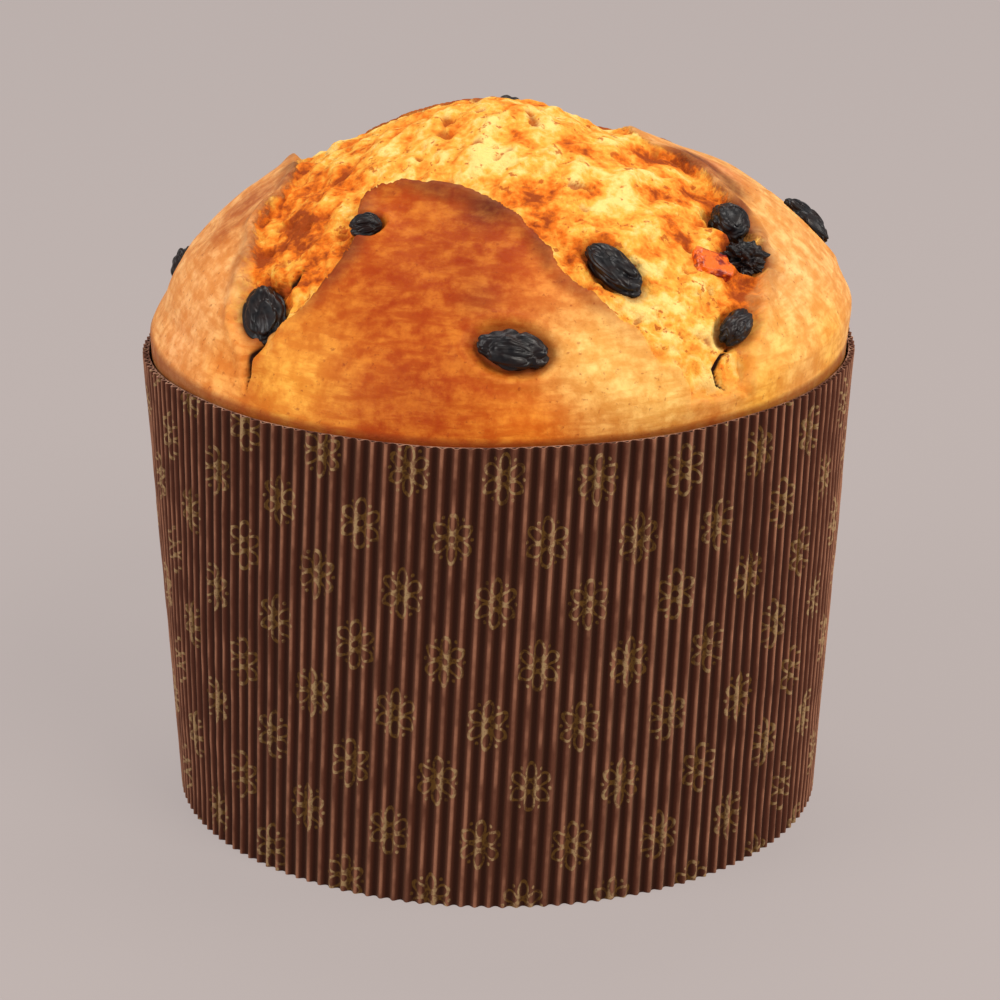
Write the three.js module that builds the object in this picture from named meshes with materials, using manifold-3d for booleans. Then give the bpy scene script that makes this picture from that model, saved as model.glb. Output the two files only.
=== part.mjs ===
// A domed fruit loaf in the corrugated paper case that it was baked in.
// Millimetres, +Z up, origin on the table under the middle of the case. The front of the loaf faces -Y.
// Azimuths are in degrees from -Y, positive towards +X.
import * as THREE from "three";
import { mergeVertices } from "three/addons/utils/BufferGeometryUtils.js";
import Module from "manifold-3d";

const wasm = await Module();
wasm.setup();

// Paper case
const wallHeight = 112;
const baseRadius = 75; // over the flute crests, on the table
const wallFlare = 7; // how much wider than that the rim is
const linerThickness = 0.45; // the smooth inner paper with the glued foot of the flutes
const fluteDepth = 1.25; // crest to valley
const flutePitch = 3.12;
const fluteAzimuth = 45; // where the flutes run straight up the wall
const lapWidth = 11; // the glued overlap, opposite that place
const lapRise = 1.1; // what the glued overlap adds to the wall
const flangeWidth = 10; // the foot of the wall, turned in under the base disc
const flangeThickness = 1.2;
const discThickness = 1.2;
const ventRadius = 2;
const ventCircleRadius = 38;
const ventCount = 6; // around the one in the middle
const looseFit = 0.3; // between the paper pieces and round what is baked into the loaf

// Loaf
const domeHeight = 49.6;
const domeShoulder = 1.34; // power of the cosine: how soon the dome turns in
const domeCrown = 1.015; // power of the sine: how flat the crown is
const domeLean = 0.03; // the loaf rose a little more on the right
const domeDrawIn = 0.008; // and drew in from the paper all round
const leanStart = 7; // height over the rim where both begin in full
const crownRise = 4.2; // torn crumb that stands up in the middle of the cross
const crownSpread = 28;
const tearDepth = 2.4; // crumb below the crust where a flap has lifted
const flapLift = 1.4; // the lifted edge of a flap over the plain dome
const flapEdge = 5; // how far inwards a flap's edge slopes

const boardThickness = linerThickness + fluteDepth;
const rimRadius = baseRadius + wallFlare;
const turnPerRow = 9; // degrees round the wall that one straight length of a flute may pass
const aroundLoaf = 84;
const ringsUpDome = 19;
const aroundDisc = 72;
const aroundVent = 16;

const radians = THREE.MathUtils.degToRad;
const lerp = THREE.MathUtils.lerp;
const smoothstep = THREE.MathUtils.smoothstep;

// Plan outlines of the four crust flaps that a cross cut leaves, on the table's x and y.
const flapOutlines = {
  front: [
    [-60, -62], [-51.7, -54.5], [-42.2, -52.3], [-35.8, -48.8], [-29.3, -42.2], [-29.5, -30], [-22, -27.5],
    [-13, -31.3], [2.4, -40], [10.1, -53.5], [19.8, -60.7], [30.5, -65.3], [41.5, -67.5], [50, -74],
    [30, -100], [-35, -100],
  ],
  right: [
    [60, -68], [53.8, -57], [58, -41.7], [60.1, -26], [51.9, -15.5], [48.7, -6], [43.5, 3.6], [31.5, 2.5],
    [27, 20], [36, 40], [50, 54], [62, 66], [100, 40], [100, -40],
  ],
  back: [
    [52, 72], [42, 60], [24, 44], [4, 35], [-18, 37], [-32, 47], [-48, 62], [-58, 72], [-35, 100], [35, 100],
  ],
  left: [
    [-62, 70], [-52, 53], [-47, 30], [-46, 8], [-46.7, -7.6], [-53.3, -12.8], [-56.2, -24.6], [-57.6, -37.5],
    [-58.3, -47.8], [-66, -58], [-100, -40], [-100, 40],
  ],
};

// Raisins: where each lies, by azimuth and by how far up the dome, its length, width and depth, the turn of its
// long side from level, and how much of its depth is under the crust.
const raisins = {
  raisin_front_left: { azimuth: -49.5, up: 0.38, size: [17, 10.5, 8], turn: -41, sunk: 0.52 },
  raisin_front_small: { azimuth: -36.6, up: 0.71, size: [7.5, 6, 5.5], turn: 35, sunk: 0.5 },
  raisin_front: { azimuth: 2.5, up: 0.38, size: [15.5, 9.5, 7.5], turn: -14, sunk: 0.58 },
  raisin_front_right: { azimuth: 26.8, up: 0.63, size: [16, 8.5, 8], turn: -69, sunk: 0.48 },
  raisin_right_upper: { azimuth: 67.9, up: 0.65, size: [11, 9.5, 9], turn: 60, sunk: 0.42 },
  raisin_right_burnt: { azimuth: 61, up: 0.55, size: [11, 7.5, 7], turn: -50, sunk: 0.5 },
  raisin_right_lower: { azimuth: 45.6, up: 0.36, size: [11.5, 6.5, 6.5], turn: 21, sunk: 0.5 },
  raisin_right_side: { azimuth: 101.5, up: 0.41, size: [13.5, 8.5, 7], turn: 62, sunk: 0.46 },
  raisin_crown: { azimuth: 176, up: 0.91, size: [8, 6.5, 6], turn: 15, sunk: 0.5 },
  raisin_back_right: { azimuth: 133, up: 0.36, size: [13, 9, 8], turn: 25, sunk: 0.52 },
  raisin_back: { azimuth: 164, up: 0.28, size: [14.5, 9, 7.5], turn: -20, sunk: 0.55 },
  raisin_back_left: { azimuth: -145, up: 0.36, size: [13.5, 9.5, 8], turn: 48, sunk: 0.5 },
  raisin_left_back: { azimuth: -105, up: 0.16, size: [11, 8, 7], turn: 75, sunk: 0.52 },
};

// Candied peel: diced pieces, placed as the raisins are.
const peelPieces = {
  candied_peel_right: { azimuth: 51, up: 0.575, size: [9.5, 8, 6], turn: -34, sunk: 0.62 },
  candied_peel_back: { azimuth: -166, up: 0.69, size: [8, 7, 6], turn: 40, sunk: 0.6 },
};

// A solid of indexed triangles.
function solidOf(positions, triangles) {
  return new wasm.Manifold(
    new wasm.Mesh({
      numProp: 3,
      vertProperties: Float32Array.from(positions),
      triVerts: Uint32Array.from(triangles),
    }),
  );
}

// A solid of a three.js geometry whose vertices are split by normal or uv.
function solidFrom(geometry) {
  const bare = geometry.clone();
  bare.deleteAttribute("normal");
  bare.deleteAttribute("uv");
  const merged = mergeVertices(bare, 1e-4);
  return solidOf(merged.attributes.position.array, merged.index.array);
}

function geometryFrom(solid) {
  const { vertProperties, triVerts } = solid.getMesh();
  const geometry = new THREE.BufferGeometry();
  geometry.setAttribute("position", new THREE.BufferAttribute(vertProperties, 3));
  geometry.setIndex(new THREE.BufferAttribute(triVerts, 1));
  geometry.computeVertexNormals();
  return geometry;
}

// Collects points and faces while a surface is laid out.
class Surface {
  positions = [];
  triangles = [];

  point(x, y, z) {
    this.positions.push(x, y, z);
    return this.positions.length / 3 - 1;
  }

  triangle(a, b, c) {
    this.triangles.push(a, b, c);
  }

  quad(a, b, c, d) {
    this.triangle(a, b, c);
    this.triangle(a, c, d);
  }
}

const plan = (azimuth, radius) => [radius * Math.sin(azimuth), -radius * Math.cos(azimuth)];

// The wall is a flat fluted sheet, cut as part of a ring and rolled into a cone. Flattened out, its flutes are
// parallel. `across` is measured at right angles to them from the middle one.
const coneSine = Math.sin(Math.atan2(rimRadius - baseRadius, wallHeight));
const wallRadius = (z) => lerp(baseRadius, rimRadius, z / wallHeight);
const slantAt = (z) => wallRadius(z) / coneSine; // from the cone's tip
const innerRadius = (z) => wallRadius(z) - boardThickness;
const turnAt = (across, slant) => Math.asin(across / slant) / coneSine; // from the middle flute

// The flute that reaches the overlap at the rim has turned furthest on its way up.
const seamReach = slantAt(wallHeight) * Math.sin(Math.PI * coneSine);
const furthestTurn = seamReach < slantAt(0) ? turnAt(seamReach, slantAt(0)) - Math.PI : Math.PI / 2;
const wallRowCount = Math.ceil(furthestTurn / radians(turnPerRow)) + 1;

// One flute, valley to valley: the share of the pitch and of the depth at each point.
const fluteProfile = [
  [0, 0],
  [0.22, 0.74],
  [0.5, 1],
  [0.78, 0.74],
];

// Half of the rolled sheet. Both halves begin at the middle flute and end at the overlap: the one with side 1
// passes over the end of the other.
function halfSheet(side) {
  const endAngle = (Math.PI + (side > 0 ? lapWidth / rimRadius : 0)) * coneSine;
  const reach = slantAt(wallHeight) * Math.sin(endAngle);
  const flutes = Math.floor(reach / flutePitch);
  const sheet = new Surface();
  const outer = [];
  const inner = [];

  function columnAt(across, rise) {
    const bottomReach = slantAt(0) * Math.sin(endAngle);
    const low = across <= bottomReach ? Math.sqrt(slantAt(0) ** 2 - across ** 2) : across / Math.tan(endAngle);
    const high = Math.sqrt(slantAt(wallHeight) ** 2 - across ** 2);
    const made = [];
    for (let row = 0; row <= wallRowCount; row += 1) {
      const along = lerp(low, high, row / wallRowCount);
      const slant = Math.hypot(across, along);
      const turned = turnAt(across, slant);
      const z = ((slant * coneSine - baseRadius) / (rimRadius - baseRadius)) * wallHeight;
      const lapped = side > 0 ? smoothstep(turned, Math.PI - lapWidth / rimRadius, Math.PI) : 0;
      const azimuth = radians(fluteAzimuth) + side * turned;
      made.push(rise(z, lapped, azimuth));
    }
    return made;
  }

  for (let flute = 0; flute <= flutes; flute += 1) {
    const points = flute < flutes ? fluteProfile : fluteProfile.slice(0, 1);
    for (const [share, height] of points) {
      outer.push(
        columnAt((flute + share) * flutePitch, (z, lapped, azimuth) =>
          sheet.point(...plan(azimuth, innerRadius(z) + linerThickness + height * fluteDepth + lapped * lapRise), z),
        ),
      );
    }
    inner.push(
      columnAt(flute * flutePitch, (z, lapped, azimuth) =>
        sheet.point(...plan(azimuth, innerRadius(z) + (lapped * linerThickness) / 2), z),
      ),
    );
  }

  // Faces for a sheet that turns towards rising azimuth: the other half reverses them.
  const quad = (a, b, c, d) => (side > 0 ? sheet.quad(a, b, c, d) : sheet.quad(d, c, b, a));
  const triangle = (a, b, c) => (side > 0 ? sheet.triangle(a, b, c) : sheet.triangle(c, b, a));
  const last = outer.length - 1;
  for (let row = 0; row < wallRowCount; row += 1) {
    for (let c = 0; c < last; c += 1) {
      quad(outer[c][row], outer[c + 1][row], outer[c + 1][row + 1], outer[c][row + 1]);
    }
    for (let f = 0; f < flutes; f += 1) {
      quad(inner[f + 1][row], inner[f][row], inner[f][row + 1], inner[f + 1][row + 1]);
    }
    quad(inner[0][row], outer[0][row], outer[0][row + 1], inner[0][row + 1]);
    quad(outer[last][row], inner[flutes][row], inner[flutes][row + 1], outer[last][row + 1]);
  }
  const points = fluteProfile.length;
  for (let f = 0; f < flutes; f += 1) {
    for (let p = 0; p < points; p += 1) {
      const c = f * points + p;
      triangle(inner[f][wallRowCount], outer[c][wallRowCount], outer[c + 1][wallRowCount]);
      triangle(inner[f][0], outer[c + 1][0], outer[c][0]);
    }
    triangle(inner[f][wallRowCount], outer[(f + 1) * points][wallRowCount], inner[f + 1][wallRowCount]);
    triangle(inner[f][0], inner[f + 1][0], outer[(f + 1) * points][0]);
  }
  return solidOf(sheet.positions, sheet.triangles);
}

// The foot of the wall, turned in flat under the base disc.
function turnedInFlange() {
  const outside = innerRadius(0) + linerThickness / 2;
  const inside = innerRadius(0) - flangeWidth;
  const profile = [
    [inside, 0],
    [outside, 0],
    [outside, flangeThickness],
    [inside, flangeThickness],
    [inside, 0],
  ].map(([r, z]) => new THREE.Vector2(r, z));
  return solidFrom(new THREE.LatheGeometry(profile, aroundDisc).rotateX(Math.PI / 2));
}

function caseWall() {
  return geometryFrom(halfSheet(1).add(halfSheet(-1)).add(turnedInFlange()));
}

// The base is a disc of the same board, glued down on the flange, with vents for the steam.
function baseDisc() {
  const circle = (x, y, radius, sides) => new THREE.Path().absarc(x, y, radius, 0, 2 * Math.PI).getPoints(sides / 2);
  const disc = new THREE.Shape(circle(0, 0, innerRadius(flangeThickness) - looseFit, aroundDisc));
  disc.holes.push(new THREE.Path(circle(0, 0, ventRadius, aroundVent)));
  for (let i = 0; i < ventCount; i += 1) {
    const [x, y] = plan((i / ventCount) * 2 * Math.PI, ventCircleRadius);
    disc.holes.push(new THREE.Path(circle(x, y, ventRadius, aroundVent)));
  }
  return new THREE.ExtrudeGeometry(disc, { depth: discThickness, bevelEnabled: false });
}

// How far a plan point lies inside an outline (negative outside it).
function depthInside(outline, x, y) {
  let nearest = Infinity;
  let inside = false;
  outline.forEach(([ax, ay], i) => {
    const [bx, by] = outline[(i + 1) % outline.length];
    const along = ((x - ax) * (bx - ax) + (y - ay) * (by - ay)) / ((bx - ax) ** 2 + (by - ay) ** 2);
    const t = Math.min(1, Math.max(0, along));
    nearest = Math.min(nearest, Math.hypot(x - lerp(ax, bx, t), y - lerp(ay, by, t)));
    if (ay > y !== by > y && x < ax + ((y - ay) / (by - ay)) * (bx - ax)) {
      inside = !inside;
    }
  });
  return inside ? nearest : -nearest;
}

// The dome without its tears. `lift` runs from 0 at the rim to a quarter turn at the crown.
const loafFoot = innerRadius(wallHeight) - looseFit;
function domePoint(azimuth, lift) {
  const over = domeHeight * Math.sin(lift) ** domeCrown;
  const lean = 1 + (domeLean * Math.sin(azimuth) - domeDrawIn) * Math.min(1, over / leanStart);
  const radius = Math.min(loafFoot, loafFoot * Math.max(0, Math.cos(lift)) ** domeShoulder * lean);
  const [x, y] = plan(azimuth, radius);
  return new THREE.Vector3(x, y, wallHeight + over);
}

// Outward normal of the plain dome.
function domeNormal(azimuth, lift) {
  const step = 0.01;
  if (lift > Math.PI / 2 - 2 * step) {
    return new THREE.Vector3(0, 0, 1);
  }
  const east = domePoint(azimuth + step, lift).sub(domePoint(azimuth - step, lift));
  const up = domePoint(azimuth, lift + step).sub(domePoint(azimuth, Math.max(0, lift - step)));
  return east.cross(up).normalize();
}

// What the crust flaps and the torn crumb add to the dome, along its normal.
function relief(x, y, over) {
  const depth = Math.max(...Object.values(flapOutlines).map((outline) => depthInside(outline, x, y)));
  const fromRim = Math.min(1, over / leanStart);
  const crown = crownRise * Math.exp(-((Math.hypot(x, y) / crownSpread) ** 2));
  const torn = smoothstep(-depth, 0, flapEdge) * Math.exp(-Math.max(0, -depth - flapEdge) / crownSpread);
  const lifted = depth > 0 ? flapLift * Math.exp(-depth / (2 * flapEdge)) : 0;
  return fromRim * (crown + lifted - tearDepth * torn);
}

function loafSurfacePoint(azimuth, lift) {
  const point = domePoint(azimuth, lift);
  const out = relief(point.x, point.y, point.z - wallHeight);
  return point.addScaledVector(domeNormal(azimuth, lift), out);
}

// The loaf: straight sides inside the case, and the dome over the rim.
function plainLoaf() {
  const loaf = new Surface();
  const floor = flangeThickness + discThickness;
  const rings = [];
  const ring = (pointAt) => {
    const made = [];
    for (let i = 0; i < aroundLoaf; i += 1) {
      made.push(loaf.point(...pointAt((i / aroundLoaf) * 2 * Math.PI)));
    }
    rings.push(made);
  };
  ring((azimuth) => [...plan(azimuth, innerRadius(floor) - looseFit), floor]);
  for (let j = 0; j < ringsUpDome; j += 1) {
    const lift = ((j / ringsUpDome) * Math.PI) / 2;
    ring((azimuth) => loafSurfacePoint(azimuth, lift).toArray());
  }
  const foot = loaf.point(0, 0, floor);
  const crown = loaf.point(...loafSurfacePoint(0, Math.PI / 2).toArray());
  for (let i = 0; i < aroundLoaf; i += 1) {
    const next = (i + 1) % aroundLoaf;
    loaf.triangle(foot, rings[0][next], rings[0][i]);
    for (let j = 0; j < rings.length - 1; j += 1) {
      loaf.quad(rings[j][i], rings[j][next], rings[j + 1][next], rings[j + 1][i]);
    }
    loaf.triangle(rings.at(-1)[i], rings.at(-1)[next], crown);
  }
  return solidOf(loaf.positions, loaf.triangles);
}

// A unit raisin: a plump oval with furrows along it.
function raisinShape() {
  const shape = new THREE.IcosahedronGeometry(1, 2);
  const furrows = 5;
  const furrowDepth = 0.07;
  const p = shape.attributes.position;
  for (let i = 0; i < p.count; i += 1) {
    const around = Math.atan2(p.getZ(i), p.getY(i));
    const share = 1 - p.getX(i) ** 2;
    const scale = 1 - furrowDepth * share * (1 + Math.cos(furrows * around));
    p.setXYZ(i, p.getX(i), p.getY(i) * scale, p.getZ(i) * scale);
  }
  return shape;
}

// A unit dice of peel with broken corners.
function peelShape() {
  const shape = new THREE.IcosahedronGeometry(1, 1);
  const p = shape.attributes.position;
  const squareness = 0.55;
  const faceShare = 0.86; // how far the middles of its faces lie from its centre
  for (let i = 0; i < p.count; i += 1) {
    const v = new THREE.Vector3().fromBufferAttribute(p, i);
    const box = Math.max(Math.abs(v.x), Math.abs(v.y), Math.abs(v.z));
    v.multiplyScalar(lerp(1, 1 / box, squareness) * faceShare);
    p.setXYZ(i, v.x, v.y, v.z);
  }
  return shape;
}

// Turns and moves a piece of fruit into its place in the crust. `extra` is added all round it.
function placeFruit({ azimuth, up: height, size, turn, sunk }, extra = 0) {
  const lift = Math.asin(height ** (1 / domeCrown));
  const angle = radians(azimuth);
  const normal = domeNormal(angle, lift);
  const east = new THREE.Vector3(Math.cos(angle), Math.sin(angle), 0);
  east.addScaledVector(normal, -east.dot(normal)).normalize();
  const up = normal.clone().cross(east);
  const along = east.clone().multiplyScalar(Math.cos(radians(turn))).addScaledVector(up, Math.sin(radians(turn)));
  const side = normal.clone().cross(along);
  const centre = loafSurfacePoint(angle, lift).addScaledVector(normal, size[2] * (0.5 - sunk));
  const [a, b, c] = size.map((s) => s / 2 + extra);
  return new THREE.Matrix4()
    .makeBasis(along.multiplyScalar(a), side.multiplyScalar(b), normal.clone().multiplyScalar(c))
    .setPosition(centre);
}

const materials = {
  paper: new THREE.MeshStandardMaterial({ color: 0x5a2c1c, roughness: 0.7, metalness: 0 }),
  basePaper: new THREE.MeshStandardMaterial({ color: 0x6b3d27, roughness: 0.85, metalness: 0 }),
  crust: new THREE.MeshStandardMaterial({ color: 0xe08a35, roughness: 0.55, metalness: 0 }),
  raisin: new THREE.MeshStandardMaterial({ color: 0x14100f, roughness: 0.3, metalness: 0 }),
  peel: new THREE.MeshStandardMaterial({ color: 0xc4501a, roughness: 0.35, metalness: 0 }),
};

const panettone = new THREE.Group();

function addPiece(name, geometry, material) {
  const mesh = new THREE.Mesh(geometry, material);
  mesh.name = name;
  panettone.add(mesh);
  return mesh;
}

addPiece("case_wall", caseWall(), materials.paper);
addPiece("base_disc", baseDisc(), materials.basePaper).position.z = flangeThickness;

let loaf = plainLoaf();
const fruit = [
  [raisins, raisinShape(), materials.raisin],
  [peelPieces, peelShape(), materials.peel],
];
for (const [places, shape, material] of fruit) {
  for (const [name, place] of Object.entries(places)) {
    loaf = loaf.subtract(solidFrom(shape.clone().applyMatrix4(placeFruit(place, looseFit))));
    addPiece(name, shape.clone().applyMatrix4(placeFruit(place)), material);
  }
}
addPiece("loaf", geometryFrom(loaf), materials.crust);

export default panettone;
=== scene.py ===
import bpy
import math
import numpy as np
from mathutils import Matrix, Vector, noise


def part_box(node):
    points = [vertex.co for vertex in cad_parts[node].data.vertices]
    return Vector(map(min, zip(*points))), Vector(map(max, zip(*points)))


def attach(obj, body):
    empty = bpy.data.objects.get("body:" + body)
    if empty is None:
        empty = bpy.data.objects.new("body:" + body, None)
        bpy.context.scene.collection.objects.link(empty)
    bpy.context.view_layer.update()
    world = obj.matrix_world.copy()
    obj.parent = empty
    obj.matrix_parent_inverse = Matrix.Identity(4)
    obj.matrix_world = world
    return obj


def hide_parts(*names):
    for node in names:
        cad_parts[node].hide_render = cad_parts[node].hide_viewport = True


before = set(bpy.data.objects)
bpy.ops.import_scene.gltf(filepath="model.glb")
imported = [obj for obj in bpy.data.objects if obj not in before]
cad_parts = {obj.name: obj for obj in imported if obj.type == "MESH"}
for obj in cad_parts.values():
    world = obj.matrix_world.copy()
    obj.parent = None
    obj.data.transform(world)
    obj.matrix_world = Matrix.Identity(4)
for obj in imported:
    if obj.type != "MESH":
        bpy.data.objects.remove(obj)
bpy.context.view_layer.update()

# A domed fruit loaf in its corrugated paper case. The front faces -Y.
# Sizes in the dictionaries are millimetres and degrees. Azimuths run from -Y towards +X.
mm = 0.001


def deselectAll():
    bpy.ops.object.select_all(action="DESELECT")


def makeActive(piece):
    deselectAll()
    piece.select_set(True)
    bpy.context.view_layer.objects.active = piece


def addModifier(piece, kind, **settings):
    modifier = piece.modifiers.new(kind.title(), kind)
    for name, value in settings.items():
        setattr(modifier, name, value)
    return modifier


def applyModifiers(piece):
    makeActive(piece)
    for modifier in list(piece.modifiers):
        bpy.ops.object.modifier_apply(modifier=modifier.name)


def readPoints(piece):
    points = np.empty(len(piece.data.vertices) * 3)
    piece.data.vertices.foreach_get("co", points)
    return points.reshape(-1, 3) / mm


def writePoints(piece, points):
    piece.data.vertices.foreach_set("co", (points * mm).ravel())
    piece.data.update()


def readNormals(piece):
    normals = np.empty(len(piece.data.vertices) * 3)
    piece.data.vertices.foreach_get("normal", normals)
    return normals.reshape(-1, 3)


def addAttribute(piece, name, values, kind="FLOAT"):
    field = {"FLOAT": "value", "FLOAT_VECTOR": "vector", "FLOAT_COLOR": "color"}[kind]
    attribute = piece.data.attributes.new(name, kind, "POINT")
    attribute.data.foreach_set(field, np.asarray(values, float).ravel())


def gridPiece(name, columns, rows):
    """A flat sheet of faces, and the share of its width and height at each of its points."""
    deselectAll()
    bpy.ops.mesh.primitive_grid_add(x_subdivisions=columns, y_subdivisions=rows, size=1, location=(0, 0, 0))
    piece = bpy.context.object
    piece.name = name
    shares = readPoints(piece) * mm + 0.5
    return piece, shares[:, 0], shares[:, 1]


def noiseAt(points):
    return np.array([noise.noise(p) for p in points.tolist()])


def fractalAt(points, falloff, octaves):
    return np.array([noise.fractal(p, falloff, 2.1, octaves) for p in points.tolist()])


def ripple(points, scale, octaves=1, seed=0.0):
    """Noise from about -1 to 1, with features of about that many millimetres."""
    shifted = points / scale + seed
    return noiseAt(shifted) if octaves == 1 else fractalAt(shifted, 0.9, octaves)


def layered(points, layers):
    """Layers of noise, each with its size, strength and seed."""
    return sum(strength * ripple(points, size, seed=seed) for size, strength, seed in layers)


def smooth(x, low, high):
    t = np.clip((x - low) / (high - low), 0, 1)
    return t * t * (3 - 2 * t)


def bump(x, middle, width):
    return np.exp(-(((x - middle) / width) ** 2))


def unit(v):
    return v / np.maximum(np.linalg.norm(v, axis=-1, keepdims=True), 1e-9)


def planPoint(azimuth, radius, z):
    return np.stack([radius * np.sin(azimuth), -radius * np.cos(azimuth), z + 0 * azimuth], -1)


def linear(color):
    share = np.asarray(color, float) / 255
    return np.where(share <= 0.04045, share / 12.92, ((share + 0.055) / 1.055) ** 2.4)


def rgba(color):
    return (*linear(color), 1.0)


def rgbaTones(tones):
    return {name: rgba(color) for name, color in tones.items()}


# helpers for materials
def newMaterial(name):
    material = bpy.data.materials.new(name)
    material.use_nodes = True
    return material, material.node_tree, material.node_tree.nodes["Principled BSDF"]


def setInputs(node, values):
    for name, value in values.items():
        node.inputs[name].default_value = value


def wire(tree, source, target):
    if isinstance(source, bpy.types.NodeSocket):
        tree.links.new(source, target)
    else:
        target.default_value = source


def mathNode(tree, operation, first, second=0.0, third=0.0):
    node = tree.nodes.new("ShaderNodeMath")
    node.operation = operation
    for i, value in enumerate((first, second, third)):
        wire(tree, value, node.inputs[i])
    return node.outputs[0]


def rangeNode(tree, value, low, high, toLow=0.0, toHigh=1.0):
    node = tree.nodes.new("ShaderNodeMapRange")
    node.interpolation_type = "SMOOTHSTEP"
    for i, item in enumerate((value, low, high, toLow, toHigh)):
        wire(tree, item, node.inputs[i])
    return node.outputs[0]


def mixNode(tree, share, first, second, blend="MIX"):
    node = tree.nodes.new("ShaderNodeMix")
    node.data_type = "RGBA"
    node.blend_type = blend
    wire(tree, share, node.inputs["Factor"])
    wire(tree, first, node.inputs["A"])
    wire(tree, second, node.inputs["B"])
    return node.outputs["Result"]


def noiseNode(tree, vector, size, detail=3.0, rough=0.55, stretch=None):
    """Noise with features of about that many millimetres, on Object coordinates."""
    if stretch:
        mapping = tree.nodes.new("ShaderNodeMapping")
        mapping.inputs["Scale"].default_value = stretch
        wire(tree, vector, mapping.inputs["Vector"])
        vector = mapping.outputs["Vector"]
    node = tree.nodes.new("ShaderNodeTexNoise")
    node.inputs["Scale"].default_value = 1 / (size * mm)
    node.inputs["Detail"].default_value = detail
    node.inputs["Roughness"].default_value = rough
    wire(tree, vector, node.inputs["Vector"])
    return node.outputs["Fac"]


def bumpNode(tree, height, distance, strength=1.0, normal=None):
    node = tree.nodes.new("ShaderNodeBump")
    node.inputs["Strength"].default_value = strength
    node.inputs["Distance"].default_value = distance * mm
    wire(tree, height, node.inputs["Height"])
    if normal is not None:
        wire(tree, normal, node.inputs["Normal"])
    return node.outputs["Normal"]


def objectCoordinates(tree):
    return tree.nodes.new("ShaderNodeTexCoord").outputs["Object"]


def attributeNode(tree, name, output):
    node = tree.nodes.new("ShaderNodeAttribute")
    node.attribute_name = name
    return node.outputs[output]


def splitNode(tree, vector):
    node = tree.nodes.new("ShaderNodeSeparateXYZ")
    wire(tree, vector, node.inputs[0])
    return node.outputs


def lengthNode(tree, x, y):
    squares = mathNode(tree, "ADD", mathNode(tree, "MULTIPLY", x, x), mathNode(tree, "MULTIPLY", y, y))
    return mathNode(tree, "SQRT", squares)


def spotsNode(tree, size, detail, low, high, toLow=0.0, toHigh=1.0, rough=0.55):
    """Noise of that size, drawn out between two levels to clear spots."""
    spots = noiseNode(tree, objectCoordinates(tree), size, detail, rough)
    return rangeNode(tree, spots, low, high, toLow, toHigh)


def grainNode(tree, strength, color, fibres, dark, light):
    """Fibres laid over a colour, between a dark and a light grey."""
    greys = mixNode(tree, fibres, rgba((dark,) * 3), rgba((light,) * 3))
    return mixNode(tree, strength, color, greys, "OVERLAY")


# The camera of the photo
photoCamera = {
    "distance": 1130.2,
    "elevation": 20.808,
    "aimSide": 0.41,
    "aimHeight": 69.17,
    "roll": 0.146,
    "lens": 174.6,
    "sensorWidth": 36,
    "clipEnd": 50000,
}


def makeCamera():
    elevation = math.radians(photoCamera["elevation"])
    back = photoCamera["distance"] * mm
    place = (photoCamera["aimSide"] * mm, -back * math.cos(elevation),
             photoCamera["aimHeight"] * mm + back * math.sin(elevation))
    deselectAll()
    bpy.ops.object.camera_add(location=place)
    camera = bpy.context.object
    camera.name = "photoCamera"
    roll = Matrix.Rotation(math.radians(photoCamera["roll"]), 3, "Z")
    tilt = Matrix.Rotation(math.pi / 2 - elevation, 3, "X") @ roll
    camera.rotation_euler = tilt.to_euler()
    camera.data.lens = photoCamera["lens"]
    camera.data.sensor_width = photoCamera["sensorWidth"]
    camera.data.clip_end = photoCamera["clipEnd"] * mm
    bpy.context.scene.camera = camera


# The studio
studio = {
    "floorWidth": 14000,
    "floorColor": (187, 176, 173),
    "floorGlow": 0.82,  # how much of the floor's own colour the camera sees without light or shadow
    "worldColor": (236, 232, 230),
    "worldStrength": 0.4,
    "lampAim": (0, 0, 80),
    "lamps": [  # name, azimuth, elevation, distance, width, watts, colour
        ("keyLamp", 34, 46, 1500, 700, 13, (255, 247, 236)),
        ("fillLamp", -62, 28, 1600, 1000, 14, (255, 250, 246)),
        ("sideLamp", 86, 22, 1500, 800, 9, (255, 248, 240)),
        ("topLamp", 172, 66, 1500, 800, 8, (255, 250, 244)),
    ],
}


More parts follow.
